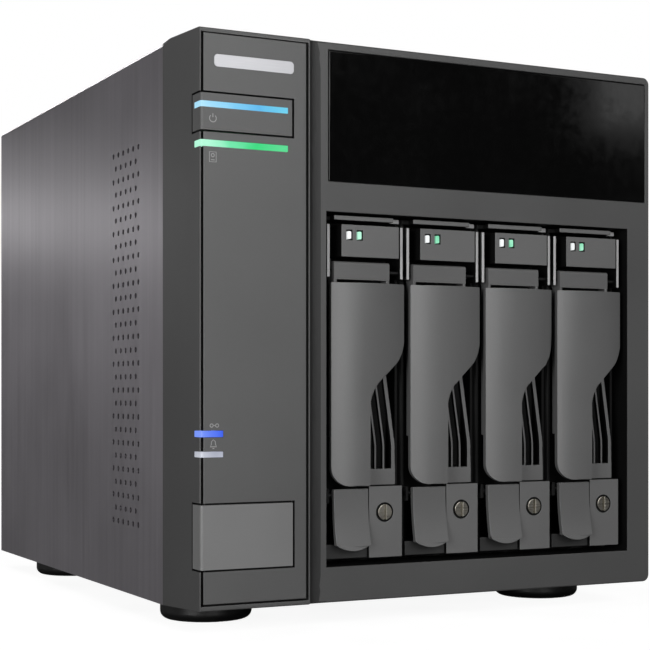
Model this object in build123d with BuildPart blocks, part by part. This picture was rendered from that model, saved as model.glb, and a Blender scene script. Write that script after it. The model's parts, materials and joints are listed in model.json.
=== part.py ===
from build123d import *
from math import cos, radians, sin
import os

# A four-bay desktop storage enclosure, in millimetres.
# Origin: centre of the footprint, on the surface it stands on.
# +X is to the right seen from the front, the front faces -Y, +Z is up.

# ---------------------------------------------------------------- driving dimensions
width = 170.0
depth = 230.0
height = 185.5
half_width = width / 2
front_y = -depth / 2
rear_y = depth / 2

sheet = 1.0  # steel sheet of the cover
plate = 1.2  # steel sheet of the base, cage and rear panel
running_gap = 0.06  # radial, between a shaft and its bore
pin_radius = 0.8

# feet
foot_radius = 15.1
foot_height = 6.3
foot_x = 65.4
foot_y = 71.5

# cover, base and rear panel
cover_half = 84.5
cover_top = 185.4
cover_bend = 1.3
cover_front = -82.5
cover_rear = 113.5
cover_lip = 7.0
base_half = cover_half - sheet - 0.3
base_front = -82.4
rear_panel_outer = cover_rear - sheet - 0.1
rear_panel_inner = rear_panel_outer - plate
cover_screws_at = [(-80.8, 45.0), (-80.8, 145.0), (80.8, 45.0), (80.8, 145.0)]
vent_radius = 0.95
vent_pitch_y = 5.0
vent_pitch_z = 4.486
vent_rows = 29
vent_top = 155.7
vent_centre_y = -46.5

# front bezel
bezel_wall = 2.5
bezel_rear = -82.9
bezel_face = -112.65
bezel_bottom = 8.1
bezel_inside = -109.3
pillar_inside = -110.3
pillar_inside_right = -52.0
bezel_top = 184.0
crest_y = -88.4  # where the sloping top is highest
pillar_left = -half_width
pillar_right = -47.85
rim_front = -114.2  # the rim round the control panel stands a little behind the panel
rim_bead = 0.4
channel_right = -41.8
collar_rear = -99.5

# controls on the pillar
panel_x = (-84.0, -49.65)
panel_z = (10.2, 182.3)
panel_recess_x = (-84.6, -48.55)
panel_recess_z = (9.6, 182.65)
panel_front = front_y + 0.15
control_thickness = 1.9
panel_back = front_y + control_thickness
groove = 0.6
corner = 0.9  # rounding of the pieces that wrap round the pillar's corner
button_z = (153.1, 164.2)
button_right = -54.45
button_wrap = -108.3
label_z = (20.6, 40.1)
label_right = -54.25
label_wrap = -108.4
bar_wrap = -110.1
power_bar_z = (160.0, 161.75)
disk_bar_z = (148.2, 150.1)
link_bar_z = (60.6, 62.5)
alert_bar_z = (54.5, 56.2)
long_bar_right = -56.05
short_bar_right = -77.7
light_board_y = (-107.0, -105.4)
badge_x = (-80.6, -54.0)
badge_z = (172.3, 176.1)

# gloss panel
gloss_x = (-40.6, 82.95)
gloss_z = (140.65, 181.5)
gloss_thickness = 2.0

# drive bays
bay_count = 4
tray_pitch = 28.75
tray_width = 27.6
first_tray_left = -40.3
bay_x = (-41.5, 75.5)
bay_z = (19.3, 130.9)
tray_z = (21.3, 130.1)
drive_front = -96.6
drive_rear = drive_front + 147.0
drive_z = (24.9, 126.5)
drive_screws_y = (drive_rear - 117.48, drive_rear - 41.28)
drive_screw_spacing = 95.25
drive_screw_radius = 1.75
runner = 3.1
tray_wall = (-101.0, -99.0)
tray_rear = 47.0
handle_pivot = (-108.6, 112.6)
latch_pivot = (-108.6, 41.4)
lock_u, lock_z, lock_radius = 20.5, 35.7, 2.5

# drive cage
cage_x = (-43.2, 78.0)
cage_y = (-81.0, 60.0)
cage_floor = 17.2
cage_roof_z = 132.4
guide_y = (-80.0, 48.0)
board_thickness = 1.6
backplane_front = 57.0

# main fan, 120 mm
fan_x, fan_z = 17.2, 75.5
fan_size, fan_depth = 120.0, 25.0
fan_hole_pitch = 105.0
fan_bore = 57.5
fan_front = rear_panel_inner - fan_depth
fan_blades = 7
fan_shaft = 1.5
guard_wire = 0.7

# power supply
supply_x = (-5.0, 76.5)
supply_z = (138.5, 179.0)
supply_y = (-39.0, rear_panel_inner)
supply_fan_x, supply_fan_z = 55.0, 158.7
supply_fan_radius = 18.5
supply_shaft = 1.0
inlet_x, inlet_z = 15.0, 158.7

# controller board and its port
controller_x = -79.0
port_x, port_z = -71.9, 40.0

os.makedirs("parts", exist_ok=True)


def save(piece, name):
    """Label a finished piece and write it as its own STEP file."""
    piece.part.label = name
    export_step(piece.part, f"parts/{name}.step")


def facing(y):
    """A plane at depth y, drawn on as seen from the front. Positive extrusion comes forwards."""
    return Plane.XZ.offset(-y)


def block(x, y, z, mode=Mode.ADD):
    """A box between two limits along each axis."""
    centre = tuple((low + high) / 2 for low, high in (x, y, z))
    with Locations([centre]):
        Box(x[1] - x[0], y[1] - y[0], z[1] - z[0], mode=mode)


def rod(x, pivot, radius, mode=Mode.ADD):
    """A round rod along X between two limits, centred on a (y, z) pivot."""
    with Locations(Location(((x[0] + x[1]) / 2, pivot[0], pivot[1]), (0, 90, 0))):
        Cylinder(radius, x[1] - x[0], mode=mode)


def stub(y, centre, radius, mode=Mode.ADD):
    """A round rod along Y between two limits, centred on an (x, z) point."""
    with Locations(Location((centre[0], (y[0] + y[1]) / 2, centre[1]), (90, 0, 0))):
        Cylinder(radius, y[1] - y[0], mode=mode)


def tray_left(bay):
    return first_tray_left + bay * tray_pitch


def spoke_plane(centre, y, angle, radius):
    """A plane across a fan blade, at a radius from the fan's (x, z) centre."""
    outward = (cos(radians(angle)), 0, sin(radians(angle)))
    around = (-sin(radians(angle)), 0, cos(radians(angle)))
    origin = (centre[0] + radius * outward[0], (y[0] + y[1]) / 2, centre[1] + radius * outward[2])
    return Plane(origin=origin, x_dir=around, z_dir=outward)


def wrapped_outline(right, wrap, thickness, grow=0.0):
    """Plan outline of a strip that lies on the pillar's face and wraps round its left corner."""
    outer = pillar_left - 2 * grow
    face = front_y - 2 * grow
    with BuildSketch() as outline:
        with BuildLine():
            Polyline(
                (outer, face),
                (right + grow, face),
                (right + grow, front_y + thickness + grow),
                (pillar_left + thickness + grow, front_y + thickness + grow),
                (pillar_left + thickness + grow, wrap + grow),
                (outer, wrap + grow),
                close=True,
            )
        make_face()
        if grow == 0:
            fillet(outline.vertices().group_by(Axis.X)[0].sort_by(Axis.Y)[0], radius=corner)
    return outline.sketch


# ---------------------------------------------------------------- chassis cover
vent_places = []
for row in range(vent_rows):
    holes = 6 if row % 2 == 0 else 5
    for hole in range(holes):
        y = vent_centre_y + (hole - (holes - 1) / 2) * vent_pitch_y
        vent_places.append((y, vent_top - row * vent_pitch_z))

with BuildPart() as chassis_cover:
    with BuildSketch(facing(cover_rear)) as cover_outline:
        with Locations((0, (cover_top + foot_height) / 2)):
            Rectangle(2 * cover_half, cover_top - foot_height)
        fillet(cover_outline.vertices().group_by(Axis.Y)[-1], radius=cover_bend)
    extrude(amount=cover_rear - cover_front)
    with BuildSketch(facing(cover_rear - sheet)) as cover_inside:
        with Locations((0, (cover_top - sheet) / 2)):
            Rectangle(2 * (cover_half - sheet), cover_top - sheet)
        fillet(cover_inside.vertices().group_by(Axis.Y)[-1], radius=cover_bend - sheet)
    extrude(amount=cover_rear - cover_front, mode=Mode.SUBTRACT)
    # only a lip stays of the rear wall, folded in over the rear panel
    lip_half = cover_half - cover_lip
    rear_wall = (cover_rear - 2, cover_rear + 1)
    block((-lip_half, lip_half), rear_wall, (0, cover_top - cover_lip), Mode.SUBTRACT)
    for x, z in cover_screws_at:
        stub(rear_wall, (x, z), 1.6, Mode.SUBTRACT)
    with BuildSketch(Plane.YZ.offset(-cover_half - 1)):
        with Locations(vent_places):
            Circle(vent_radius)
    extrude(amount=2 * cover_half + 2, mode=Mode.SUBTRACT)
save(chassis_cover, "chassis_cover")

# ---------------------------------------------------------------- chassis base
with BuildPart() as chassis_base:
    base_rear = rear_panel_inner - 0.1
    block((-base_half, base_half), (base_front, base_rear), (foot_height, foot_height + plate))
    for side in (-1, 1):
        flange = sorted((side * base_half, side * (base_half - plate)))
        block(flange, (base_front, base_rear), (foot_height, foot_height + 12))
    # front wall, with the window for the bays and one for the light board
    block((-base_half, base_half), (base_front, base_front + plate), (foot_height, 183.5))
    cut_y = (base_front - 1, base_front + plate + 1)
    block((bay_x[0] - 0.6, bay_x[1] + 0.6), cut_y, (bay_z[0] - 0.6, bay_z[1] + 0.6), Mode.SUBTRACT)
    block((-79, -56), cut_y, (50, 170), Mode.SUBTRACT)
    with Locations((0, 0, foot_height)):
        with GridLocations(2 * foot_x, 2 * foot_y, 2, 2):
            Cylinder(1.7, 4 * plate, mode=Mode.SUBTRACT)
        with GridLocations(9.0, 60.0, 9, 2):
            Box(4.0, 40.0, 4 * plate, mode=Mode.SUBTRACT)
save(chassis_base, "chassis_base")

# ---------------------------------------------------------------- rear panel
with BuildPart() as rear_panel:
    block(
        (-base_half, base_half),
        (rear_panel_inner, rear_panel_outer),
        (foot_height + 0.2, cover_top - sheet - 0.3),
    )
    top_corners = rear_panel.edges().filter_by(Axis.Y).group_by(Axis.Z)[-1]
    fillet(top_corners, radius=cover_bend - sheet)
    cut_y = (rear_panel_inner - 1, rear_panel_outer + 1)
    stub(cut_y, (fan_x, fan_z), fan_bore - 0.5, Mode.SUBTRACT)
    for dx in (-fan_hole_pitch / 2, fan_hole_pitch / 2):
        for dz in (-fan_hole_pitch / 2, fan_hole_pitch / 2):
            stub(cut_y, (fan_x + dx, fan_z + dz), 2.2, Mode.SUBTRACT)
    block(
        (supply_x[0] + 2, supply_x[1] - 2), cut_y, (supply_z[0] + 2, supply_z[1] - 2), Mode.SUBTRACT
    )
    block((port_x - 6.0, port_x + 6.0), cut_y, (port_z - 6.6, port_z + 6.6), Mode.SUBTRACT)
    block((-68.5, -61.3), cut_y, (20.3, 23.7), Mode.SUBTRACT)
    for x, z in cover_screws_at:
        stub(cut_y, (x, z), 1.6, Mode.SUBTRACT)
    with BuildSketch(facing(cut_y[1])):
        with Locations((-60.5, 97.0)):
            with GridLocations(0, 5.0, 1, 14):
                SlotOverall(26.0, 2.2)
        with Locations((-44.0, 160.0)):
            with GridLocations(5.0, 0, 13, 1):
                SlotOverall(28.0, 2.2, rotation=90)
    extrude(amount=4 * plate, mode=Mode.SUBTRACT)
save(rear_panel, "rear_panel")

# ---------------------------------------------------------------- screws of the case
with BuildPart() as cover_screws:
    for x, z in cover_screws_at:
        stub((cover_rear, rear_y - 0.1), (x, z), 3.0)
        stub((rear_panel_inner - 3.5, cover_rear), (x, z), 1.5)
        block((x - 2.0, x + 2.0), (rear_y - 0.8, rear_y), (z - 0.3, z + 0.3), Mode.SUBTRACT)
        block((x - 0.3, x + 0.3), (rear_y - 0.8, rear_y), (z - 2.0, z + 2.0), Mode.SUBTRACT)
save(cover_screws, "cover_screws")

# ---------------------------------------------------------------- feet
foot_recess = 3.2
with BuildPart() as rubber_feet:
    with BuildSketch():
        with GridLocations(2 * foot_x, 2 * foot_y, 2, 2):
            Circle(foot_radius)
    extrude(amount=foot_height)
    fillet(rubber_feet.edges().group_by(Axis.Z)[0], radius=2.6)
    with GridLocations(2 * foot_x, 2 * foot_y, 2, 2):
        Cylinder(4.5, 2 * foot_recess, mode=Mode.SUBTRACT)
        Cylinder(1.7, 3 * foot_height, mode=Mode.SUBTRACT)
save(rubber_feet, "rubber_feet")

with BuildPart() as foot_screws:
    with BuildSketch(Plane.XY.offset(foot_recess)):
        with GridLocations(2 * foot_x, 2 * foot_y, 2, 2):
            Circle(2.9)
    extrude(amount=-1.6)
    with BuildSketch(Plane.XY.offset(foot_recess)):
        with GridLocations(2 * foot_x, 2 * foot_y, 2, 2):
            Circle(1.5)
    extrude(amount=7.0)
save(foot_screws, "foot_screws")

# ---------------------------------------------------------------- front bezel
# The plan outline is raised to full height, then cut by the tapering side profile.
with BuildPart() as bezel_outside:
    with BuildSketch():
        with BuildLine():
            Polyline(
                (channel_right, bezel_face),
                (half_width, bezel_face),
                (half_width, bezel_rear),
                (pillar_left, bezel_rear),
                (pillar_left, rim_front),
                (pillar_right, rim_front),
            )
            # hollow sweep from the pillar down to the flat front
            Bezier(
                (pillar_right, rim_front),
                (pillar_right + 0.1, bezel_face + 0.15),
                (pillar_right + 2.0, bezel_face),
                (channel_right, bezel_face),
            )
        make_face()
    extrude(amount=height)
    with BuildSketch(Plane.YZ):
        with BuildLine():
            Polyline(
                (bezel_rear, foot_height),
                (bezel_face, bezel_bottom),
                (front_y, bezel_bottom),
                (front_y, bezel_top),
                (crest_y, height),
                (bezel_rear, height - 0.4),
                close=True,
            )
        make_face()
    extrude(amount=width, both=True, mode=Mode.INTERSECT)
    right_edges = bezel_outside.faces().sort_by(Axis.X)[-1].edges()
    fillet(right_edges.filter_by(Axis.Z, reverse=True), radius=2.4)
    upright_edges = bezel_outside.edges().filter_by(Axis.Z).group_by(Axis.X)[-1]
    fillet(upright_edges.sort_by(Axis.Y)[0], radius=0.6)
    pillar_front = bezel_outside.faces().filter_by(Axis.Y).sort_by(Axis.Y)[0]
    fillet(pillar_front.edges(), radius=rim_bead)

with BuildPart() as bezel_hollow:
    with BuildSketch():
        with BuildLine():
            Polyline(
                (pillar_inside_right, bezel_inside),
                (half_width - bezel_wall, bezel_inside),
                (half_width - bezel_wall, bezel_rear + 1),
                (pillar_left + bezel_wall, bezel_rear + 1),
                (pillar_left + bezel_wall, pillar_inside),
                (pillar_inside_right, pillar_inside),
                close=True,
            )
        make_face()
    extrude(amount=height)
    with BuildSketch(Plane.YZ):
        with BuildLine():
            Polyline(
                (bezel_rear + 2, foot_height + bezel_wall),
                (front_y, bezel_bottom + bezel_wall),
                (front_y, bezel_top - bezel_wall),
                (crest_y, height - bezel_wall),
                (bezel_rear + 2, height - bezel_wall),
                close=True,
            )
        make_face()
    extrude(amount=width, both=True, mode=Mode.INTERSECT)
    # the wall stays thick behind the gloss panel
    thick_wall_y = (bezel_face, bezel_inside + 1.5)
    block((pillar_inside_right, half_width), thick_wall_y, (136, height), Mode.SUBTRACT)

button_cut = wrapped_outline(button_right, button_wrap, control_thickness, groove)
label_cut = wrapped_outline(label_right, label_wrap, control_thickness, groove)
long_bar_cut = wrapped_outline(long_bar_right, bar_wrap, control_thickness, 0.1)
short_bar_cut = wrapped_outline(short_bar_right, bar_wrap, control_thickness, 0.1)
pillar_cuts = [
    (button_cut, button_z, groove),
    (label_cut, label_z, groove),
    (long_bar_cut, disk_bar_z, 0.1),
    (short_bar_cut, link_bar_z, 0.1),
    (short_bar_cut, alert_bar_z, 0.1),
]
long_stem_x = (-71.0, -69.0)
short_stem_x = (-80.6, -79.0)

with BuildPart() as front_bezel:
    add(bezel_outside.part)
    add(bezel_hollow.part, mode=Mode.SUBTRACT)
    # collar that leads the trays in
    block(
        (bay_x[0] - 1.6, bay_x[1] + 1.6), (-110, collar_rear), (bay_z[0] - 1.6, bay_z[1] + 1.6)
    )
    block(bay_x, (-113, collar_rear + 1), bay_z, Mode.SUBTRACT)
    # recess of the gloss panel
    recess_x = (gloss_x[0] - 0.25, gloss_x[1] + 0.25)
    recess_z = (gloss_z[0] - 0.25, gloss_z[1] + 0.25)
    block(recess_x, (-113, bezel_face + gloss_thickness), recess_z, Mode.SUBTRACT)
    # recess of the control panel, which leaves a groove between the panel and its rim
    block(panel_recess_x, (front_y - 1, panel_back), panel_recess_z, Mode.SUBTRACT)
    for outline, (low, high), grow in pillar_cuts:
        with BuildSketch(Plane.XY.offset(low - grow)):
            add(outline)
        extrude(amount=high - low + 2 * grow, mode=Mode.SUBTRACT)
    # the power button swings into an open window
    window_x = (pillar_left + bezel_wall, button_right + groove)
    window_z = (button_z[0] - groove, button_z[1] + groove)
    block(window_x, (front_y, bezel_inside), window_z, Mode.SUBTRACT)
    # passages of the light guides
    for stem_x, (low, high) in (
        (long_stem_x, disk_bar_z),
        (short_stem_x, link_bar_z),
        (short_stem_x, alert_bar_z),
    ):
        passage_x = (stem_x[0] - 0.2, stem_x[1] + 0.2)
        block(passage_x, (front_y, bezel_inside), (low - 0.1, high + 0.1), Mode.SUBTRACT)
save(front_bezel, "front_bezel")

with BuildPart() as gloss_panel:
    block(gloss_x, (bezel_face, bezel_face + gloss_thickness), gloss_z)
    fillet(gloss_panel.faces().sort_by(Axis.Y)[0].edges(), radius=0.3)
save(gloss_panel, "gloss_panel")

# ---------------------------------------------------------------- control panel
with BuildPart() as control_panel:
    block(panel_x, (panel_front, panel_back), panel_z)
    fillet(control_panel.faces().sort_by(Axis.Y)[0].edges(), radius=0.25)
    for outline, (low, high), grow in pillar_cuts:
        with BuildSketch(Plane.XY.offset(low - grow)):
            add(outline)
        extrude(amount=high - low + 2 * grow, mode=Mode.SUBTRACT)
save(control_panel, "control_panel")

with BuildPart() as badge:
    block(badge_x, (front_y, panel_front), badge_z)
    fillet(badge.edges().filter_by(Axis.Y), radius=1.2)
save(badge, "badge")

with BuildPart() as label_plate:
    with BuildSketch(Plane.XY.offset(label_z[0])):
        add(wrapped_outline(label_right, label_wrap, control_thickness))
    extrude(amount=label_z[1] - label_z[0])
save(label_plate, "label_plate")

button_outline = wrapped_outline(button_right, button_wrap, control_thickness)
power_bar_outline = wrapped_outline(long_bar_right, bar_wrap, 1.2)
power_bar_cut = wrapped_outline(long_bar_right, bar_wrap, 1.2, 0.05)
with BuildPart() as power_button:
    with BuildSketch(Plane.XY.offset(button_z[0])):
        add(button_outline)
    extrude(amount=button_z[1] - button_z[0])
    with BuildSketch(Plane.XY.offset(power_bar_z[0] - 0.05)):
        add(power_bar_cut)
    extrude(amount=power_bar_z[1] - power_bar_z[0] + 0.1, mode=Mode.SUBTRACT)
    # plunger that meets the switch
    block((-62.0, -58.0), (front_y + 1.5, -109.4), (155.0, 158.5))
save(power_button, "power_button")

with BuildPart() as power_light_bar:
    with BuildSketch(Plane.XY.offset(power_bar_z[0])):
        add(power_bar_outline)
    extrude(amount=power_bar_z[1] - power_bar_z[0])
save(power_light_bar, "power_light_bar")

for name, (low, high), right, stem_x in (
    ("disk_light_bar", disk_bar_z, long_bar_right, long_stem_x),
    ("link_light_bar", link_bar_z, short_bar_right, short_stem_x),
    ("alert_light_bar", alert_bar_z, short_bar_right, short_stem_x),
):
    outline = wrapped_outline(right, bar_wrap, control_thickness)
    with BuildPart() as light_bar:
        with BuildSketch(Plane.XY.offset(low)):
            add(outline)
        extrude(amount=high - low)
        block(stem_x, (front_y + 1, light_board_y[0] - 0.3), (low, high))
    save(light_bar, name)

with BuildPart() as light_board:
    block((-81.8, -56.5), light_board_y, (47.0, 168.0))
    for z in (50.0, 105.0, 165.0):
        stub((light_board_y[0] - 1, light_board_y[1] + 1), (-75.0, z), 1.6, Mode.SUBTRACT)
save(light_board, "light_board")

with BuildPart() as power_switch:
    block((-63.0, -57.0), (-107.7, light_board_y[0]), (153.8, 159.8))
    stub((-108.2, -107.6), (-60.0, 156.8), 1.7)
save(power_switch, "power_switch")

# ---------------------------------------------------------------- drive cage
with BuildPart() as drive_cage:
    for x in (cage_x[0], cage_x[1] - plate):
        block((x, x + plate), cage_y, (foot_height + plate, cage_roof_z))
    block(cage_x, cage_y, (cage_floor, cage_floor + plate))
    with BuildSketch(Plane.YZ.offset(cage_x[0] - 1)):
        with Locations((-12.0, 75.0)):
            with GridLocations(15.0, 0, 7, 1):
                SlotOverall(70.0, 7.0, rotation=90)
    extrude(amount=cage_x[1] - cage_x[0] + 2, mode=Mode.SUBTRACT)
save(drive_cage, "drive_cage")

with BuildPart() as cage_roof:
    block(cage_x, cage_y, (cage_roof_z, cage_roof_z + plate))
    # upstands that carry the power supply
    for x in (supply_x[0] + 1, supply_x[1] - 1 - plate):
        block((x, x + plate), (-35.0, 55.0), (cage_roof_z + plate, supply_z[0]))
save(cage_roof, "cage_roof")

last_tray_right = tray_left(bay_count - 1) + tray_width
ridge_limits = [
    (cage_x[0] + plate, first_tray_left - 0.3),
    (last_tray_right + 0.3, cage_x[1] - plate),
]
for bay in range(1, bay_count):
    middle = tray_left(bay) - (tray_pitch - tray_width) / 2
    ridge_limits.append((middle - 0.25, middle + 0.25))
for name, strip_z, ridge_z in (
    ("lower_guide_rails", (cage_floor + plate, 21.0), (21.0, 25.0)),
    ("upper_guide_rails", (130.4, cage_roof_z), (126.4, 130.4)),
):
    with BuildPart() as guide_rails:
        block((cage_x[0] + plate, cage_x[1] - plate), guide_y, strip_z)
        for limits in ridge_limits:
            block(limits, guide_y, ridge_z)
    save(guide_rails, name)

# ---------------------------------------------------------------- backplane and its connectors
connector_z = (52.0, 95.0)
with BuildPart() as backplane_board:
    backplane_y = (backplane_front, backplane_front + board_thickness)
    block((cage_x[0] + plate + 0.3, cage_x[1] - plate - 0.3), backplane_y, (19.0, 132.0))
    for bay in range(bay_count):
        vent_x = (tray_left(bay) + 15.5, tray_left(bay) + 24.5)
        cut_y = (backplane_front - 1, backplane_front + board_thickness + 1)
        block(vent_x, cut_y, (30.0, 70.0), Mode.SUBTRACT)
        block(vent_x, cut_y, (80.0, 120.0), Mode.SUBTRACT)
save(backplane_board, "backplane_board")

with BuildPart() as drive_connectors:
    for bay in range(bay_count):
        connector_x = (tray_left(bay) + 3.0, tray_left(bay) + 10.4)
        block(connector_x, (drive_rear + 0.1, backplane_front), connector_z)
        for slot_z in ((53.5, 74.5), (79.5, 93.5)):
            slot_x = (connector_x[0] + 2.4, connector_x[0] + 4.6)
            block(slot_x, (drive_rear, drive_rear + 4.0), slot_z, Mode.SUBTRACT)
save(drive_connectors, "drive_connectors")

# ---------------------------------------------------------------- controller board
with BuildPart() as controller_board:
    block((controller_x, controller_x + board_thickness), (12.0, 110.0), (22.0, 132.0))
    for y in (18.0, 104.0):
        for z in (28.0, 126.0):
            rod((controller_x - 1, controller_x + 3), (y, z), 1.6, Mode.SUBTRACT)
save(controller_board, "controller_board")

board_face = controller_x + board_thickness
with BuildPart() as heat_sink:
    block((board_face + 1.4, board_face + 4.0), (36.0, 76.0), (70.0, 110.0))
    for fin in range(9):
        fin_y = 36.0 + fin * 4.85
        block((board_face + 4.0, board_face + 16.0), (fin_y, fin_y + 1.2), (70.0, 110.0))
save(heat_sink, "heat_sink")

with BuildPart() as controller_chip:
    block((board_face, board_face + 1.4), (46.0, 66.0), (80.0, 100.0))
save(controller_chip, "controller_chip")

# square port for the cable to the host
port_y = (96.0, cover_rear - 0.2)
with BuildPart() as host_port:
    block((port_x - 5.5, port_x + 5.5), port_y, (port_z - 6.1, port_z + 6.1))
    block((port_x - 4.3, port_x + 4.3), (100.0, rear_y), (port_z - 4.6, port_z + 4.6), Mode.SUBTRACT)
    block((port_x - 2.8, port_x + 2.8), (99.0, port_y[1] - 1.2), (port_z - 1.6, port_z + 1.6))
save(host_port, "host_port")

# ---------------------------------------------------------------- main fan
with BuildPart() as fan_frame:
    with BuildSketch(facing(rear_panel_inner)) as fan_outline:
        with Locations((fan_x, fan_z)):
            Rectangle(fan_size, fan_size)
        fillet(fan_outline.vertices(), radius=6.0)
    extrude(amount=fan_depth)
    cut_y = (fan_front - 1, rear_panel_inner + 1)
    stub(cut_y, (fan_x, fan_z), fan_bore, Mode.SUBTRACT)
    for dx in (-fan_hole_pitch / 2, fan_hole_pitch / 2):
        for dz in (-fan_hole_pitch / 2, fan_hole_pitch / 2):
            stub(cut_y, (fan_x + dx, fan_z + dz), 2.15, Mode.SUBTRACT)
    # motor carrier on four spokes, and the shaft
    with BuildSketch(facing(rear_panel_inner)):
        with Locations((fan_x, fan_z)):
            Circle(20.0)
            Rectangle(2 * fan_bore + 2, 4.0, rotation=45)
            Rectangle(2 * fan_bore + 2, 4.0, rotation=-45)
    extrude(amount=3.5)
    stub((fan_front + 6.0, rear_panel_inner - 3.0), (fan_x, fan_z), fan_shaft)
save(fan_frame, "fan_frame")

rotor_y = (fan_front + 2.0, rear_panel_inner - 4.0)
blade_sections = ((17.0, 19.0, 48.0), (54.0, 31.0, 28.0))  # radius, chord, pitch
with BuildPart() as fan_rotor:
    stub(rotor_y, (fan_x, fan_z), 19.5)
    fillet(fan_rotor.faces().sort_by(Axis.Y)[0].edges(), radius=2.0)
    for blade in range(fan_blades):
        for radius, chord, pitch in blade_sections:
            with BuildSketch(spoke_plane((fan_x, fan_z), rotor_y, blade * 360 / fan_blades, radius)):
                SlotOverall(chord, 1.6, rotation=pitch)
        loft()
    bore_y = (rotor_y[0] + 3.0, rotor_y[1] + 1)
    stub(bore_y, (fan_x, fan_z), fan_shaft + running_gap, Mode.SUBTRACT)
save(fan_rotor, "fan_rotor")

guard_y = rear_y - guard_wire
guard_ears = (rear_panel_outer, rear_panel_outer + 1.0)
with BuildPart() as fan_guard:
    for ring_radius in (14.0, 25.0, 36.0, 47.0):
        with Locations(Location((fan_x, guard_y, fan_z), (90, 0, 0))):
            Torus(ring_radius, guard_wire)
    with BuildSketch(facing(guard_y)):
        with Locations((fan_x, fan_z)):
            Rectangle(2 * 66.0, 1.2, rotation=45)
            Rectangle(2 * 66.0, 1.2, rotation=-45)
    extrude(amount=guard_y - guard_ears[0] - 0.3)
    for dx in (-fan_hole_pitch / 2, fan_hole_pitch / 2):
        for dz in (-fan_hole_pitch / 2, fan_hole_pitch / 2):
            stub(guard_ears, (fan_x + dx, fan_z + dz), 4.0)
            stub((guard_ears[0] - 1, rear_y), (fan_x + dx, fan_z + dz), 2.2, Mode.SUBTRACT)
save(fan_guard, "fan_guard")

with BuildPart() as fan_screws:
    for dx in (-fan_hole_pitch / 2, fan_hole_pitch / 2):
        for dz in (-fan_hole_pitch / 2, fan_hole_pitch / 2):
            screw_at = (fan_x + dx, fan_z + dz)
            stub((rear_panel_inner - 8.0, guard_ears[1]), screw_at, 2.1)
            stub((guard_ears[1], guard_ears[1] + 1.4), screw_at, 3.8)
save(fan_screws, "fan_screws")

# ---------------------------------------------------------------- power supply
with BuildPart() as supply_case:
    block(supply_x, supply_y, supply_z)
    block(
        (supply_x[0] + sheet, supply_x[1] - sheet),
        (supply_y[0] + sheet, supply_y[1] - sheet),
        (supply_z[0] + sheet, supply_z[1] - sheet),
        Mode.SUBTRACT,
    )
    rear_wall = (supply_y[1] - 2 * sheet, supply_y[1] + sheet)
    stub(rear_wall, (supply_fan_x, supply_fan_z), supply_fan_radius + 0.7, Mode.SUBTRACT)
    block((inlet_x - 14.0, inlet_x + 14.0), rear_wall, (inlet_z - 10.5, inlet_z + 10.5), Mode.SUBTRACT)
    # bars across the fan opening, and slots in the front wall
    bar_y = (supply_y[1] - sheet, supply_y[1])
    bar_half = 0.8
    for half_x, half_z in ((supply_fan_radius + 1.5, bar_half), (bar_half, supply_fan_radius + 1.5)):
        bar_x = (supply_fan_x - half_x, supply_fan_x + half_x)
        block(bar_x, bar_y, (supply_fan_z - half_z, supply_fan_z + half_z))
    stub(bar_y, (supply_fan_x, supply_fan_z), 7.0)
    stub((supply_y[1] - 6.0, bar_y[0]), (supply_fan_x, supply_fan_z), supply_shaft)
    with BuildSketch(facing(supply_y[0] + 2 * sheet)):
        with Locations(((supply_x[0] + supply_x[1]) / 2, (supply_z[0] + supply_z[1]) / 2)):
            with GridLocations(5.0, 0, 13, 1):
                SlotOverall(28.0, 2.5, rotation=90)
    extrude(amount=4 * sheet, mode=Mode.SUBTRACT)
save(supply_case, "supply_case")

supply_rotor_y = (supply_y[1] - 16.0, supply_y[1] - 3.0)
supply_blade_sections = ((7.5, 9.0, 48.0), (16.6, 12.0, 30.0))
with BuildPart() as supply_fan_rotor:
    stub(supply_rotor_y, (supply_fan_x, supply_fan_z), 9.0)
    for blade in range(fan_blades):
        angle = blade * 360 / fan_blades
        for radius, chord, pitch in supply_blade_sections:
            with BuildSketch(
                spoke_plane((supply_fan_x, supply_fan_z), supply_rotor_y, angle, radius)
            ):
                SlotOverall(chord, 1.0, rotation=pitch)
        loft()
    bore_y = (supply_y[1] - 7.0, supply_y[1])
    stub(bore_y, (supply_fan_x, supply_fan_z), supply_shaft + running_gap, Mode.SUBTRACT)
save(supply_fan_rotor, "supply_fan_rotor")

inlet_y = (supply_y[1] - 14.0, cover_rear + 0.6)
with BuildPart() as mains_inlet:
    block((inlet_x - 13.6, inlet_x + 13.6), inlet_y, (inlet_z - 10.1, inlet_z + 10.1))
    inlet_flange_y = (supply_y[1], inlet_y[1])
    block((inlet_x - 16.0, inlet_x + 16.0), inlet_flange_y, (inlet_z - 12.5, inlet_z + 12.5))
    fillet(mains_inlet.faces().sort_by(Axis.Y)[-1].edges(), radius=0.5)
    socket_y = (inlet_y[0] + 2.0, rear_y)
    block((inlet_x - 12.2, inlet_x + 12.2), socket_y, (inlet_z - 8.4, inlet_z + 8.2), Mode.SUBTRACT)
save(mains_inlet, "mains_inlet")

with BuildPart() as inlet_pins:
    for dx, low in ((-7.0, -4.0), (0.0, 0.0), (7.0, -4.0)):
        block(
            (inlet_x + dx - 1.0, inlet_x + dx + 1.0),
            (socket_y[0], inlet_y[1] - 2.0),
            (inlet_z + low, inlet_z + low + 4.0),
        )
save(inlet_pins, "inlet_pins")

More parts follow.
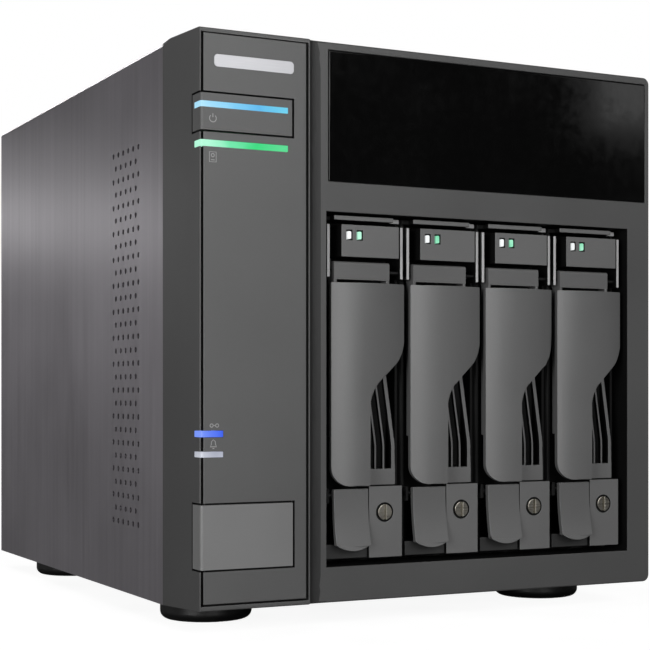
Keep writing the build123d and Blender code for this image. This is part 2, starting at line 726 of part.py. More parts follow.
# ---------------------------------------------------------------- trays
# Each tray is drawn in its own bay: u runs to the right from the tray's left edge.
handle_u = (1.2, 27.5)
handle_z = (44.4, 108.9)
handle_crown = -113.5
handle_edge = -111.2
handle_shell = 1.5
slab_u = (2.1, 22.0)
slab_z = (109.9, 115.6)
latch_u = (2.2, 14.5)
light_windows = (6.4, 10.1)
window_width = 2.1
window_z = (122.4, 125.6)
window_rim = 0.4  # dark rim left round each light guide
lip_top = 25.9
lower_runner_top = drive_z[0] - 0.3
upper_runner_base = drive_z[1] + 0.3
side_windows_y = (-84.0, -48.0, -30.0, -12.0, 28.0)
slab_round = 0.8
comb_y = (-109.5, -108.1)
comb_ribs = ((17.9, 0.7), (20.9, 0.7), (24.4, 1.3))
comb_base = (44.4, 49.6)

for bay in range(bay_count):
    left = tray_left(bay)
    number = bay + 1

    with BuildPart() as frame:
        # floor of the recess, side rails, top and bottom walls
        block((left, left + 27.4), tray_wall, tray_z)
        for u in (0.0, 26.4):
            rail = (left + u, left + u + 1.0)
            block(rail, (-107.0, tray_wall[1]), tray_z)
            block(rail, (-110.6, tray_wall[1]), (110.6, 127.3))
        block((left, left + 1.0), (-110.2, tray_wall[1]), (39.0, 43.6))
        block((left, left + 27.4), (-108.0, tray_wall[1]), (128.7, tray_z[1]))
        block((left + 2.3, left + 23.7), (-111.0, tray_wall[1]), (128.7, tray_z[1]))
        block((left, left + 27.4), (-109.6, tray_wall[1]), (tray_z[0], lip_top))
        # block that carries the light windows
        block((left + 4.6, left + 25.4), (-111.6, tray_wall[1]), (117.1, 127.3))
        # housing of the lock, hollow behind its face
        block((left + 14.8, left + 26.9), (-111.0, tray_wall[1]), (tray_z[0], 44.1))
        block((left + 15.8, left + 25.9), (-108.4, tray_wall[0]), (lip_top, 42.6), Mode.SUBTRACT)
        # louvre comb beside the handle
        block((left + 15.4, left + 25.1), (comb_y[0], tray_wall[1]), comb_base)
        block((left + 10.0, left + 20.4), (comb_y[0], tray_wall[1]), (90.0, 93.0))
        with BuildSketch(facing(comb_y[1])):
            for u, rib_width in comb_ribs:
                with BuildLine():
                    FilletPolyline(
                        (left + u, comb_base[1] - 1),
                        (left + u, 57.5),
                        (left + u - 4.9, 91.0),
                        radius=25,
                    )
                trace(line_width=rib_width)
        extrude(amount=comb_y[1] - comb_y[0])
        # runners above and below the drive, and the plate that it is screwed to
        runner_y = (tray_wall[1], tray_rear)
        block((left, left + 27.3), runner_y, (lower_runner_top - runner, lower_runner_top))
        block((left, left + 27.3), runner_y, (upper_runner_base, upper_runner_base + runner))
        block((left, left + 1.0), runner_y, (drive_z[0] - 1, drive_z[1] + 1))
        through = (left - 1, left + 2)
        for y in drive_screws_y:
            for dz in (-drive_screw_spacing / 2, drive_screw_spacing / 2):
                rod(through, (y, sum(drive_z) / 2 + dz), drive_screw_radius, Mode.SUBTRACT)
        for y in side_windows_y:
            block(through, (y - 6.0, y + 6.0), (38.0, 113.0), Mode.SUBTRACT)
        # bores
        rod((left - 1, left + 28), handle_pivot, pin_radius + 0.01, Mode.SUBTRACT)
        rod((left - 1, left + 16.6), latch_pivot, pin_radius + 0.01, Mode.SUBTRACT)
        stub((-112, -108), (left + lock_u, lock_z), lock_radius + running_gap, Mode.SUBTRACT)
        stub((-112, -110.6), (left + lock_u, lock_z), lock_radius + 0.6, Mode.SUBTRACT)
        for u in light_windows:
            block((left + u, left + u + window_width), (-112, -104), window_z, Mode.SUBTRACT)
            seat = window_rim - 0.05
            seat_u = (left + u + seat, left + u + window_width - seat)
            seat_z = (window_z[0] + seat, window_z[1] - seat)
            block(seat_u, (-105, tray_wall[1] + 1), seat_z, Mode.SUBTRACT)
    save(frame, f"tray_{number}_frame")

    with BuildPart() as handle:
        # curved shell, cut to its outline as seen from the front
        with BuildSketch(Plane.XY.offset(handle_z[0])):
            with BuildLine():
                ends = (left + handle_u[0], left + handle_u[1])
                middle = sum(ends) / 2
                ThreePointArc((ends[0], handle_edge), (middle, handle_crown), (ends[1], handle_edge))
                Line((ends[1], handle_edge), (ends[1], handle_edge + handle_shell))
                ThreePointArc(
                    (ends[1], handle_edge + handle_shell),
                    (middle, handle_crown + handle_shell),
                    (ends[0], handle_edge + handle_shell),
                )
                Line((ends[0], handle_edge + handle_shell), (ends[0], handle_edge))
            make_face()
        extrude(amount=handle_z[1] - handle_z[0])
        with BuildSketch(facing(handle_edge + 5)):
            with BuildLine():
                FilletPolyline(
                    (left + handle_u[0], handle_z[1]),
                    (left + handle_u[0], handle_z[0]),
                    (left + 14.0, handle_z[0]),
                    (left + 14.0, 74.5),
                    (left + handle_u[1], 86.0),
                    (left + handle_u[1], handle_z[1]),
                    radius=[0.4, 6.0, 0.5, 12.0, 10.0, 0.4],
                    close=True,
                )
            make_face()
        extrude(amount=10, mode=Mode.INTERSECT)
        # stiffening ribs that run up to the hinge
        block((left + 2.1, left + 3.3), (-111.2, -107.0), (60.0, 114.0))
        block((left + 21.0, left + 22.0), (-111.2, -107.0), (92.0, 114.0))
        # hinge end
        with BuildSketch(Plane.YZ.offset(left + slab_u[0])) as slab_section:
            with Locations((-109.0, sum(slab_z) / 2)):
                Rectangle(4.8, slab_z[1] - slab_z[0])
            fillet(slab_section.vertices().group_by(Axis.Y)[-1], radius=slab_round)
        extrude(amount=slab_u[1] - slab_u[0])
        rod((left, left + 28), handle_pivot, pin_radius + running_gap, Mode.SUBTRACT)
    save(handle, f"tray_{number}_handle")

    with BuildPart() as latch:
        with BuildSketch(Plane.YZ.offset(left + latch_u[0])):
            with BuildLine():
                Line((-109.4, 43.4), (-111.1, 43.4))
                ThreePointArc((-111.1, 43.4), (-111.6, 33.5), (-113.5, 23.9))
                Line((-113.5, 23.9), (-111.7, 23.9))
                ThreePointArc((-111.7, 23.9), (-109.9, 33.5), (-109.4, 43.4))
            make_face()
        extrude(amount=latch_u[1] - latch_u[0])
        with BuildSketch(facing(-106)):
            with BuildLine():
                Polyline(
                    (left + latch_u[0], 25.8),
                    (left + latch_u[0], 43.6),
                    (left + latch_u[1], 43.6),
                    (left + latch_u[1], 25.8),
                )
                ThreePointArc(
                    (left + latch_u[1], 25.8), (left + sum(latch_u) / 2, 23.9), (left + latch_u[0], 25.8)
                )
            make_face()
        extrude(amount=10, mode=Mode.INTERSECT)
        block((left + latch_u[0] + 1, left + latch_u[1] - 1), (-110.2, -107.2), (39.8, 43.0))
        rod((left, left + 16), latch_pivot, pin_radius + running_gap, Mode.SUBTRACT)
    save(latch, f"tray_{number}_latch")

    with BuildPart() as lock:
        stub((-111.3, -107.6), (left + lock_u, lock_z), lock_radius)
        block((left + lock_u - 0.45, left + lock_u + 0.45), (-112, -110.2), (32, 39), Mode.SUBTRACT)
        # cam at the back
        cam_u = (left + lock_u - 1.2, left + lock_u + 1.2)
        block(cam_u, (-107.6, -106.2), (lock_z - 2.0, lock_z + 3.6))
    save(lock, f"tray_{number}_lock")

    with BuildPart() as light_pipes:
        for u in light_windows:
            pipe_u = (left + u + window_rim, left + u + window_width - window_rim)
            block(pipe_u, (-111.5, -97.5), (window_z[0] + window_rim, window_z[1] - window_rim))
        fillet(light_pipes.edges().filter_by(Axis.Y), radius=0.4)
    save(light_pipes, f"tray_{number}_light_pipes")

    with BuildPart() as pins:
        rod((left + 0.1, left + 27.3), handle_pivot, pin_radius)
        rod((left + 0.1, left + 16.5), latch_pivot, pin_radius)
    save(pins, f"tray_{number}_pins")
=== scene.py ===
import json
import math

import bmesh
import bpy
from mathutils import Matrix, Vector

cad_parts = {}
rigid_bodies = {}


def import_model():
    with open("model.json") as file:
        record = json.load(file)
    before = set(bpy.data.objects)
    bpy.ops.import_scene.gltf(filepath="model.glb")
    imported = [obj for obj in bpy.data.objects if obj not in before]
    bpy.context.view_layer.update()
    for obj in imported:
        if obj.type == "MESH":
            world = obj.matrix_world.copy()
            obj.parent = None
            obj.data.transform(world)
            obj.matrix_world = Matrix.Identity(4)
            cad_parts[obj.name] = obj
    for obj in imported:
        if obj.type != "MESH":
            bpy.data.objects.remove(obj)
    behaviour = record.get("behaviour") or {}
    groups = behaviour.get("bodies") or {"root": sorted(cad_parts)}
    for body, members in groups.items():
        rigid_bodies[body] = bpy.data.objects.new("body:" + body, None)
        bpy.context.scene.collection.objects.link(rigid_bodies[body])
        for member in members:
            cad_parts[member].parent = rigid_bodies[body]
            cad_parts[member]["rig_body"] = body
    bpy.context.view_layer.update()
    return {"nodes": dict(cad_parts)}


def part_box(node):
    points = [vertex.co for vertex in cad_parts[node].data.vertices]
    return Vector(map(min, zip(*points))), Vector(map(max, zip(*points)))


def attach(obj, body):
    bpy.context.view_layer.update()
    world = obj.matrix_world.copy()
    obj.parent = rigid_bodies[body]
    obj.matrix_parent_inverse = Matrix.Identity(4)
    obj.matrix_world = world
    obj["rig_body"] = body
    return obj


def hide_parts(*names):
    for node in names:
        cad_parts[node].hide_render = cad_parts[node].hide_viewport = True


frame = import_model()
scene = bpy.context.scene
MM = 0.001
slots = {node: source.data.materials[0].name for node, source in frame["nodes"].items()}


# ---------------------------------------------------------------- shaders
class Finish:
    """A material made of one Principled shader and the textures that feed it."""

    def __init__(self, name, **values):
        self.material = bpy.data.materials.new(name)
        self.material.use_nodes = True
        self.nodes = self.material.node_tree.nodes
        self.links = self.material.node_tree.links
        self.nodes.clear()
        self.shader = self.nodes.new("ShaderNodeBsdfPrincipled")
        output = self.nodes.new("ShaderNodeOutputMaterial")
        self.links.new(self.shader.outputs[0], output.inputs["Surface"])
        self.place = self.nodes.new("ShaderNodeTexCoord").outputs["Object"]
        for socket, value in values.items():
            self.shader.inputs[socket.replace("_", " ")].default_value = value

    def scaled(self, sx, sy, sz):
        """Object coordinates, stretched: repeats per metre along each axis."""
        mapping = self.nodes.new("ShaderNodeMapping")
        mapping.inputs["Scale"].default_value = (sx, sy, sz)
        self.links.new(self.place, mapping.inputs["Vector"])
        return mapping.outputs[0]

    def noise(self, scale, detail=2.0, rough=0.5):
        """Noise with grains of 1/scale metres. The scale is one number, or one for each axis."""
        if not isinstance(scale, tuple):
            scale = (scale, scale, scale)
        noise = self.nodes.new("ShaderNodeTexNoise")
        noise.inputs["Scale"].default_value = 1.0
        noise.inputs["Detail"].default_value = detail
        noise.inputs["Roughness"].default_value = rough
        self.links.new(self.scaled(*scale), noise.inputs["Vector"])
        return noise.outputs["Fac"]

    def spread(self, source, low, high, start=0.3, end=0.7):
        """Map a texture's middle range onto low..high."""
        node = self.nodes.new("ShaderNodeMapRange")
        limits = {"From Min": start, "From Max": end, "To Min": low, "To Max": high}
        for socket, value in limits.items():
            node.inputs[socket].default_value = value
        self.links.new(source, node.inputs["Value"])
        return node.outputs[0]

    def join(self, a, b, operation="ADD"):
        node = self.nodes.new("ShaderNodeMath")
        node.operation = operation
        for socket, value in zip(node.inputs, (a, b)):
            if isinstance(value, (int, float)):
                socket.default_value = value
            else:
                self.links.new(value, socket)
        return node.outputs[0]

    def tint(self, source, dark, light):
        """Colour between dark and light by a 0..1 value."""
        node = self.nodes.new("ShaderNodeMix")
        node.data_type = "RGBA"
        node.inputs["A"].default_value = (*dark, 1)
        node.inputs["B"].default_value = (*light, 1)
        self.links.new(source, node.inputs["Factor"])
        return node.outputs["Result"]

    def feed(self, socket, source):
        self.links.new(source, self.shader.inputs[socket])

    def bump(self, source, height):
        """Raise the surface by up to height metres where the texture is bright."""
        node = self.nodes.new("ShaderNodeBump")
        node.inputs["Strength"].default_value = 1.0
        node.inputs["Distance"].default_value = height
        self.links.new(source, node.inputs["Height"])
        self.links.new(node.outputs[0], self.shader.inputs["Normal"])
        return self


def grey(value):
    return (value, value, value)


def shade(colour, factor):
    return tuple(min(1.0, c * factor) for c in colour)


def moulded(name, colour, rough=0.5, grain=5000.0, relief=0.000006, specular=0.5):
    """Injection-moulded plastic: spark-eroded grain, faint flow marks, uneven gloss."""
    finish = Finish(name, Specular_IOR_Level=specular)
    fine = finish.noise(grain, detail=3.0, rough=0.6)
    cloud = finish.noise(28.0, detail=3.0)
    mixed = finish.join(finish.spread(fine, 0, 0.6), finish.spread(cloud, 0, 0.4))
    finish.feed("Base Color", finish.tint(mixed, shade(colour, 0.9), shade(colour, 1.1)))
    gloss = finish.spread(cloud, rough - 0.04, rough + 0.04)
    finish.feed("Roughness", finish.join(gloss, finish.spread(fine, -0.03, 0.03)))
    return finish.bump(fine, relief).material


def plated(name, colour, rough=0.3, along="Z"):
    """Plated or brushed metal, with its grain along one axis."""
    finish = Finish(name, Metallic=1.0)
    fine = finish.noise(tuple(90.0 if axis == along else 9000.0 for axis in "XYZ"))
    cloud = finish.noise(60.0)
    mixed = finish.join(finish.spread(fine, 0, 0.6), finish.spread(cloud, 0, 0.4))
    finish.feed("Base Color", finish.tint(mixed, shade(colour, 0.88), shade(colour, 1.12)))
    gloss = finish.spread(fine, rough - 0.06, rough + 0.06)
    finish.feed("Roughness", finish.join(gloss, finish.spread(cloud, -0.04, 0.04)))
    return finish.bump(fine, 0.000002).material


def lit(name, dim, bright, strength):
    """A glowing light guide, uneven along its length."""
    finish = Finish(name, Roughness=0.25, Specular_IOR_Level=0.4, Emission_Strength=strength)
    cloud = finish.spread(finish.noise(90.0), 0, 1)
    finish.feed("Base Color", finish.tint(cloud, shade(dim, 0.5), shade(bright, 0.5)))
    finish.feed("Emission Color", finish.tint(cloud, dim, bright))
    return finish.material


def long_bar(name, left, right, colours, strength):
    """A glowing bar whose colour changes along X, from the pillar's corner to its right end."""
    finish = Finish(name, Roughness=0.3, Specular_IOR_Level=0.3, Emission_Strength=strength)
    split = finish.nodes.new("ShaderNodeSeparateXYZ")
    finish.links.new(finish.place, split.inputs[0])
    wisps = finish.spread(finish.noise(160.0), -0.08, 0.08)
    along = finish.join(finish.spread(split.outputs["X"], 0, 1, left, right), wisps)
    ramp = finish.nodes.new("ShaderNodeValToRGB")
    finish.links.new(along, ramp.inputs[0])
    elements = ramp.color_ramp.elements
    while len(elements) < len(colours):
        elements.new(0.5)
    for element, (position, colour) in zip(elements, colours):
        element.position = position
        element.color = (*colour, 1)
    finish.feed("Emission Color", ramp.outputs[0])
    last = colours[-1][1]
    finish.feed("Base Color", finish.tint(wisps, shade(last, 0.1), shade(last, 0.2)))
    return finish.material


def brushed_cover():
    """Satin coated sheet with a fine upright hairline grain."""
    finish = Finish("cover_metal", Metallic=0.85, Anisotropic=0.6)
    fine = finish.noise((9000.0, 9000.0, 25.0), detail=3.0, rough=0.6)
    broad = finish.noise((420.0, 420.0, 6.0))
    cloud = finish.noise(14.0)
    streaks = finish.join(finish.spread(fine, 0, 0.5), finish.spread(broad, 0, 0.35))
    mixed = finish.join(streaks, finish.spread(cloud, 0, 0.15))
    finish.feed("Base Color", finish.tint(mixed, (0.30, 0.28, 0.305), (0.44, 0.42, 0.45)))
    rough = finish.join(finish.spread(fine, 0.30, 0.42), finish.spread(cloud, -0.03, 0.03))
    finish.feed("Roughness", rough)
    return finish.bump(fine, 0.0000015).material


long_bar_x = (-0.085, -0.056)
short_bar_x = (-0.085, -0.0777)
green_stops = (
    (0.0, (0.50, 1.0, 0.75)),
    (0.35, (0.16, 0.80, 0.42)),
    (0.65, (0.013, 0.68, 0.19)),
    (1.0, (0.09, 0.70, 0.28)),
)
blue_stops = (
    (0.0, (0.45, 0.80, 1.0)),
    (0.35, (0.20, 0.60, 0.92)),
    (0.65, (0.09, 0.45, 0.82)),
    (1.0, (0.15, 0.64, 0.85)),
)
link_stops = ((0.0, (0.20, 0.32, 0.95)), (1.0, (0.03, 0.10, 0.82)))
materials = {
    "cover_metal": brushed_cover(),
    "sheet_steel": plated("sheet_steel", (0.55, 0.56, 0.58), rough=0.35, along="Y"),
    "rear_steel": moulded("rear_steel", grey(0.03), rough=0.5, grain=2600.0, relief=0.000014),
    "bezel_plastic": moulded("bezel_plastic", grey(0.066), rough=0.45, grain=5200.0),
    "panel_plastic": moulded("panel_plastic", grey(0.09), rough=0.42, grain=5200.0),
    "gloss_black": moulded(
        "gloss_black", grey(0.001), rough=0.1, grain=300.0, relief=0.0, specular=0.3
    ),
    "badge_metal": plated("badge_metal", (0.5, 0.5, 0.52), rough=0.5, along="X"),
    "label_plastic": moulded("label_plastic", grey(0.18), rough=0.4, grain=6000.0),
    "lens_green": long_bar("lens_green", *long_bar_x, green_stops, 0.9),
    "lens_blue": long_bar("lens_blue", *long_bar_x, blue_stops, 0.9),
    "lens_grey": lit("lens_grey", (0.36, 0.38, 0.46), (0.60, 0.62, 0.68), 0.7),
    "lens_clear": lit("lens_clear", (0.75, 0.78, 0.78), (0.92, 0.95, 0.95), 0.75),
    "tray_plastic": moulded("tray_plastic", grey(0.03), rough=0.5, grain=4200.0, specular=0.4),
    "handle_plastic": moulded("handle_plastic", grey(0.11), rough=0.34, grain=5200.0),
    "lock_metal": plated("lock_metal", (0.42, 0.40, 0.35), rough=0.32, along="X"),
    "pin_steel": plated("pin_steel", grey(0.03), rough=0.4, along="X"),
    "screw_steel": plated("screw_steel", (0.45, 0.45, 0.47), rough=0.3, along="X"),
    "board_green": moulded("board_green", (0.02, 0.12, 0.05), rough=0.35, grain=900.0),
    "connector_black": moulded("connector_black", grey(0.012), rough=0.45),
    "heat_sink_metal": plated("heat_sink_metal", (0.5, 0.52, 0.55), rough=0.4, along="Z"),
    "fan_plastic": moulded("fan_plastic", grey(0.014), rough=0.4),
    "guard_steel": plated("guard_steel", (0.75, 0.75, 0.77), rough=0.2, along="X"),
    "contact_metal": plated("contact_metal", (0.8, 0.62, 0.3), rough=0.25, along="Y"),
    "foot_rubber": moulded("foot_rubber", grey(0.004), rough=0.4, grain=2500.0, relief=0.00001),
}
# finishes that a piece has beside the one of its slot
# painted shade: near-black put on the bay opening, the pillar's grooves and the tray recesses,
# where only shade falls
painted_cavity_shade = moulded("painted_cavity_shade", grey(0.004), rough=0.6, grain=4200.0, specular=0.15)
# painted light: a lighter copy of the tray plastic on the faces lit at the front
painted_light_tray_face = moulded("painted_light_tray_face", grey(0.12), rough=0.42, grain=5200.0)
# painted shade: a darker copy of the tray plastic on the lip in the recess below the latch
painted_shade_tray_lip = moulded("painted_shade_tray_lip", grey(0.016), rough=0.5, grain=5200.0)
comb_face = moulded("comb_face", grey(0.12), rough=0.4, grain=5200.0)
# painted shade: a darker copy of the bezel plastic on the sweep beside the pillar
painted_shade_sweep = moulded("painted_shade_sweep", grey(0.02), rough=0.5, grain=5200.0)
spring_strip = moulded("spring_strip", grey(0.42), rough=0.3, grain=5200.0)
lens_mint = lit("lens_mint", (0.10, 0.55, 0.28), (0.45, 0.85, 0.65), 0.75)
lens_link = long_bar("lens_link", *short_bar_x, link_stops, 0.95)
icon_print = moulded("icon_print", grey(0.30), rough=0.5, grain=6000.0)


# ---------------------------------------------------------------- pieces
def soften(work, radius, narrow=40.0, wide=130.0, crease=24.0):
    """Mark the sharp outer edges that have room for a bevel, and crease the other sharp ones."""
    weight = work.edges.layers.float.new("bevel_weight_edge")
    for edge in work.edges:
        if not edge.is_manifold or not edge.is_convex or edge.calc_length() < 2 * radius:
            continue
        if not narrow < math.degrees(edge.calc_face_angle()) < wide:
            continue
        neighbours = {other for vertex in edge.verts for other in vertex.link_edges} - {edge}
        if min(other.calc_length() for other in neighbours) > 2.2 * radius:
            edge[weight] = 1.0
    for edge in work.edges:
        if not edge.is_manifold or edge[weight] > 0:
            continue
        if math.degrees(edge.calc_face_angle()) > crease:
            edge.smooth = False


def is_flat(face, crease=24.0, much=12.0):
    """True for a large face beside which all that curves away from it is small."""
    curving = [0.0]
    for edge in face.edges:
        if edge.is_manifold and math.degrees(edge.calc_face_angle()) < crease:
            curving += [other.calc_area() for other in edge.link_faces if other != face]
    return face.calc_area() > much * max(curving)


def rounded(node, radius, paint=None, front=None):
    """A piece of the CAD node's shape, with its sharp edges rounded off. It stands for the node.

    paint gives the finish of a face from its centre and normal. front draws the
    foremost face back to that depth, to leave room for a print on it.
    """
    source = frame["nodes"][node]
    slot = slots[node]
    finishes = [materials[slot]]
    work = bmesh.new()
    work.from_mesh(source.data)
    bmesh.ops.remove_doubles(work, verts=work.verts, dist=1e-6)
    flat = math.radians(0.4)
    bmesh.ops.dissolve_limit(work, angle_limit=flat, verts=work.verts, edges=work.edges)
    work.normal_update()
    for vertex in work.verts:
        if front is not None and vertex.co.y < front:
            vertex.co.y = front
    for face in work.faces:
        face.smooth = not is_flat(face)
        finish = paint(face.calc_center_median(), face.normal) if paint else None
        if finish and finish not in finishes:
            finishes.append(finish)
        face.material_index = finishes.index(finish) if finish else 0
    soften(work, radius)
    mesh = bpy.data.meshes.new(node + "_shape")
    work.to_mesh(mesh)
    work.free()
    if "custom_normal" in mesh.attributes:
        mesh.attributes.remove(mesh.attributes["custom_normal"])
    for finish in finishes:
        mesh.materials.append(finish)
    piece = bpy.data.objects.new(node + "_shape", mesh)
    scene.collection.objects.link(piece)
    bevel = piece.modifiers.new("edges", "BEVEL")
    bevel.width = radius
    bevel.segments = 2
    bevel.limit_method = "WEIGHT"
    bevel.use_clamp_overlap = False
    bevel.miter_outer = "MITER_ARC"
    normals = piece.modifiers.new("normals", "WEIGHTED_NORMAL")
    normals.keep_sharp = True
    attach(piece, source["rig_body"])
    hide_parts(node)
    return piece


def bezel_paint(centre, normal):
    """Painted shade: the bay opening and the grooves of the pillar are painted black, and the sweep
    beside it is painted dark, where shade falls on the same plastic.
    """
    low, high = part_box("tray_1_frame")[0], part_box("tray_4_frame")[1]
    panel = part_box("control_panel")
    margin = 3 * MM
    opening_end, flat_front = -0.09, -0.1126
    sweep_start, sweep_end = panel[1][0] + 1.6 * MM, panel[1][0] + 7.9 * MM
    across = low[0] - margin < centre.x < high[0] + margin
    upright = low[2] - margin < centre.z < high[2] + margin
    # painted shade: the inner faces of the bay opening are painted near-black
    if across and upright and normal.y > -0.5 and centre.y < opening_end:
        return painted_cavity_shade
    # painted shade: the grooves round the pillar's panel are painted near-black
    if centre.x < panel[1][0] + MM and panel[0][2] - MM < centre.z < panel[1][2] + MM:
        if abs(normal.z) > 0.9 or (normal.y < -0.5 and centre.y > panel[0][1] + MM):
            return painted_cavity_shade
    # painted shade: the sweep beside the pillar is painted darker
    if sweep_start < centre.x < sweep_end and abs(normal.z) < 0.5 and centre.y < flat_front:
        return painted_shade_sweep
    return None


def panel_paint(centre, normal):
    """Painted shade: the sides of the panel are painted as black as the grooves, where shade falls.
    """
    return painted_cavity_shade if normal.y > -0.2 else None


def tray_paint(left):
    """Finishes of a tray frame, which is one plastic: grey faces that show at the front, a lighter
    copy of it as painted light; a darker lip below the latch and black behind them, both painted
    shade.

    The depths, heights and distances from the left edge are in mm.
    """
    recess_floor, block_depth, strip_depth = -98.5, -110.8, -110.3
    clip_depth, comb_depth = -107.5, -109.2
    strips_above, clip_above, clip_right_of = 105, 128, 20
    lip_below, comb_above, comb_right_of = 26, 44, 3

    def paint(centre, normal):
        u, y, z = (centre.x - left) / MM, centre.y / MM, centre.z / MM
        if y > recess_floor:
            return None
        # painted shade: faces that don't face the front are painted black
        if normal.y > -0.5:
            return painted_cavity_shade
        # painted light: the faces at the front of the block get the lighter copy
        if y < block_depth:
            return painted_light_tray_face
        if y < strip_depth and z > strips_above:
            return spring_strip
        if y < clip_depth and z > clip_above and u > clip_right_of:
            return spring_strip
        # painted shade: the lip below the latch gets the darker copy
        if y < comb_depth and z < lip_below:
            return painted_shade_tray_lip
        if y < comb_depth and z > comb_above and u > comb_right_of:
            return comb_face
        # painted shade: what is left at the front, deep in the recess, is painted black
        return painted_cavity_shade

    return paint


def windows_paint(middle):
    """The left light guide is clear and the right one green."""
    return lambda centre, normal: lens_mint if centre.x > middle else None


for node, source in sorted(frame["nodes"].items()):
    source.material_slots[0].material = materials[slots[node]]
frame["nodes"]["link_light_bar"].material_slots[0].material = lens_link

print_front = -0.11495
rounded("front_bezel", 0.25 * MM, paint=bezel_paint)
rounded("power_button", 0.2 * MM, front=print_front)
rounded("control_panel", 0.12 * MM, paint=panel_paint)
for node, radius in (
    ("label_plate", 0.2 * MM),
    ("badge", 0.04 * MM),
    ("gloss_panel", 0.1 * MM),
):
    rounded(node, radius)
for bay in range(1, 5):
    tray_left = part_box(f"tray_{bay}_frame")[0][0]
    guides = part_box(f"tray_{bay}_light_pipes")
    rounded(f"tray_{bay}_frame", 0.15 * MM, paint=tray_paint(tray_left))
    rounded(f"tray_{bay}_handle", 0.3 * MM)
    rounded(f"tray_{bay}_latch", 0.2 * MM)
    rounded(f"tray_{bay}_lock", 0.1 * MM)
    middle = (guides[0][0] + guides[1][0]) / 2
    rounded(f"tray_{bay}_light_pipes", 0.1 * MM, paint=windows_paint(middle))


# ---------------------------------------------------------------- printed signs
def band(work, points, width, front, closed=False):
    """A flat line of the given width through (x, z) points, facing the front."""
    count = len(points)
    sides = []
    for index, (x, z) in enumerate(points):
        before = points[index - 1] if closed or index else points[index]
        after = points[(index + 1) % count] if closed or index < count - 1 else points[index]
        run = Vector((after[0] - before[0], after[1] - before[1])).normalized()
        across = Vector((-run.y, run.x)) * width / 2
        ends = [(x + side * across.x, front, z + side * across.y) for side in (1, -1)]
        sides.append([work.verts.new(end) for end in ends])
    for index in range(count if closed else count - 1):
        a, b = sides[index], sides[(index + 1) % count]
        work.faces.new((a[0], b[0], b[1], a[1]))


def sign(name, node, centre, lines, front):
    """A small printed sign made of lines, fixed to a node. The lines are in mm about its centre."""
    work = bmesh.new()
    for points, closed in lines:
        placed = [(centre[0] + x * MM, centre[1] + z * MM) for x, z in points]
        band(work, placed, sign_line, front, closed)
    bmesh.ops.recalc_face_normals(work, faces=work.faces)
    for face in work.faces:
        if face.normal.y > 0:
            face.normal_flip()
    mesh = bpy.data.meshes.new(name)
    work.to_mesh(mesh)
    work.free()
    mesh.materials.append(icon_print)
    piece = bpy.data.objects.new(name, mesh)
    scene.collection.objects.link(piece)
    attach(piece, frame["nodes"][node]["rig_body"])


def arc(radius, start, end, centre=(0, 0), steps=18):
    angles = [math.radians(start + (end - start) * step / steps) for step in range(steps + 1)]
    return [(centre[0] + radius * math.cos(a), centre[1] + radius * math.sin(a)) for a in angles]


sign_line = 0.28 * MM
lift = 0.02 * MM
button_front = print_front - lift
panel_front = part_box("control_panel")[0][1] - lift
power_sign = [(arc(1.1, 130, 410), False), ([(0, 0.3), (0, 1.5)], False)]
disk_sign = [
    ([(-1.1, -1.5), (-1.1, 1.5), (1.1, 1.5), (1.1, -1.5)], True),
    (arc(0.5, 0, 360, (0, 0.5))[:-1], True),
    ([(-0.6, -0.9), (0.6, -0.9)], False),
]
link_sign = [
    (arc(0.5, 0, 360, (-0.9, 0))[:-1], True),
    ([(-0.4, 0), (0.4, 0)], False),
    (arc(0.5, 0, 360, (0.9, 0))[:-1], True),
]
bell = [(-1.1, -0.8), (-0.7, -0.2), (-0.6, 0.8), (0, 1.3), (0.6, 0.8), (0.7, -0.2), (1.1, -0.8)]
alert_sign = [
    (bell, True),
    ([(-0.3, -1.3), (0.3, -1.3)], False),
]
sign("power_sign", "power_button", (-0.0810, 0.1566), power_sign, button_front)
sign("disk_sign", "control_panel", (-0.0810, 0.1450), disk_sign, panel_front)
sign("link_sign", "control_panel", (-0.0805, 0.0641), link_sign, panel_front)
sign("alert_sign", "control_panel", (-0.0808, 0.0585), alert_sign, panel_front)

# ---------------------------------------------------------------- room
camera = bpy.data.objects.new("camera", bpy.data.cameras.new("camera"))
scene.collection.objects.link(camera)
camera.location = (-0.26132, -0.54838, 0.07359)
camera.rotation_euler = (math.radians(90), 0, math.radians(-26.71))
camera.data.lens = 86.166
camera.data.sensor_width = 36.0
camera.data.shift_y = 0.1062
camera.data.clip_start = 0.01
scene.camera = camera
scene.view_settings.view_transform = "Standard"
scene.view_settings.look = "None"
aim = Vector((0, 0, 0.09))


def softbox(name, azimuth, elevation, distance, width, height, radiance):
    """A soft light round the object. Azimuth 0 is in front, and positive to the right."""
    turn, rise = math.radians(azimuth), math.radians(elevation)
    lamp = bpy.data.lights.new(name, "AREA")
    lamp.shape = "RECTANGLE"
    lamp.size = width
    lamp.size_y = height
    lamp.energy = math.pi * width * height * radiance
    holder = bpy.data.objects.new(name, lamp)
    scene.collection.objects.link(holder)
    flat = math.cos(rise)
    away = Vector((math.sin(turn) * flat, -math.cos(turn) * flat, math.sin(rise)))
    holder.location = aim + distance * away
    holder.rotation_euler = (-away).to_track_quat("-Z", "Y").to_euler()
    holder.visible_camera = False


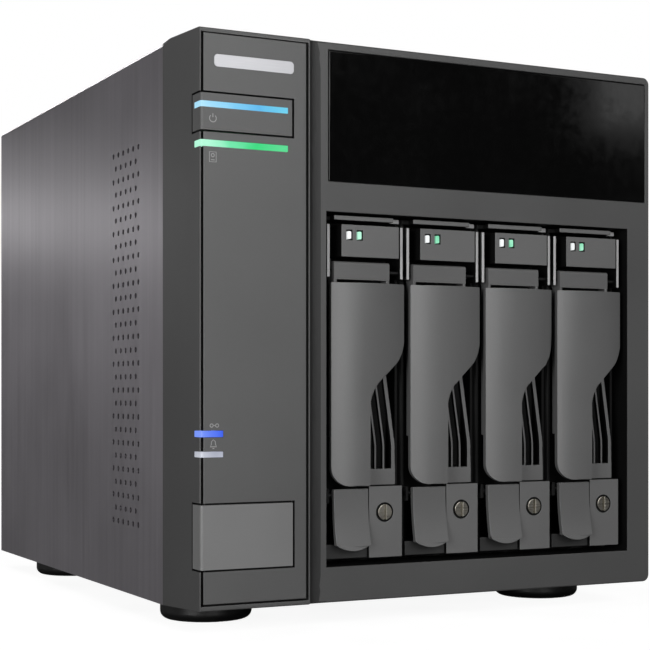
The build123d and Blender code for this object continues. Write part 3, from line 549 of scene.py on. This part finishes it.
softbox("front_left", -55, 4, 1.2, 0.5, 0.5, 8.4)
softbox("front", -8, 4, 1.2, 0.5, 0.5, 4.0)
softbox("front_high", 6, 22, 1.2, 0.5, 0.5, 5.2)
softbox("side_left", -115, 4, 1.5, 0.4, 0.16, 4.3)
softbox("side_rear", -135, 4, 1.5, 0.4, 0.16, 1.1)
softbox("rear_high", -172, 30, 1.5, 0.4, 0.16, 15.5)
softbox("rear_low", -172, 9, 1.5, 0.4, 0.16, 0.9)
softbox("band", -163, 8, 1.5, 0.5, 0.06, 1.6)
softbox("gleam", 41, 18, 1.5, 0.26, 0.34, 1.8)

world = bpy.data.worlds.new("world")
scene.world = world
world.use_nodes = True
tree = world.node_tree
tree.nodes.clear()
path = tree.nodes.new("ShaderNodeLightPath")
mix = tree.nodes.new("ShaderNodeMixShader")
seen = tree.nodes.new("ShaderNodeBackground")
seen.inputs["Color"].default_value = (1, 1, 1, 1)
ambient = tree.nodes.new("ShaderNodeBackground")
ambient.inputs["Color"].default_value = (0.06, 0.06, 0.06, 1)
out = tree.nodes.new("ShaderNodeOutputWorld")
tree.links.new(path.outputs["Is Camera Ray"], mix.inputs[0])
tree.links.new(ambient.outputs[0], mix.inputs[1])
tree.links.new(seen.outputs[0], mix.inputs[2])
tree.links.new(mix.outputs[0], out.inputs[0])

floor_mesh = bpy.data.meshes.new("floor")
work = bmesh.new()
bmesh.ops.create_circle(work, cap_ends=True, segments=96, radius=1.6)
work.to_mesh(floor_mesh)
work.free()
floor = bpy.data.objects.new("floor", floor_mesh)
scene.collection.objects.link(floor)
pale = Finish("floor", Roughness=0.7, Specular_IOR_Level=0.2)
pale.feed("Base Color", pale.tint(pale.spread(pale.noise(30.0), 0, 1), grey(0.24), grey(0.26)))
pale.feed("Emission Color", pale.tint(pale.spread(pale.noise(30.0), 0, 1), grey(0.98), grey(1.0)))
seen_directly = pale.nodes.new("ShaderNodeLightPath").outputs["Is Camera Ray"]
pale.feed("Emission Strength", pale.join(seen_directly, 0.93, "MULTIPLY"))
radius_node = pale.nodes.new("ShaderNodeVectorMath")
radius_node.operation = "LENGTH"
pale.links.new(pale.place, radius_node.inputs[0])
pale.feed("Alpha", pale.spread(radius_node.outputs["Value"], 1, 0, 0.35, 1.2))
floor_mesh.materials.append(pale.material)
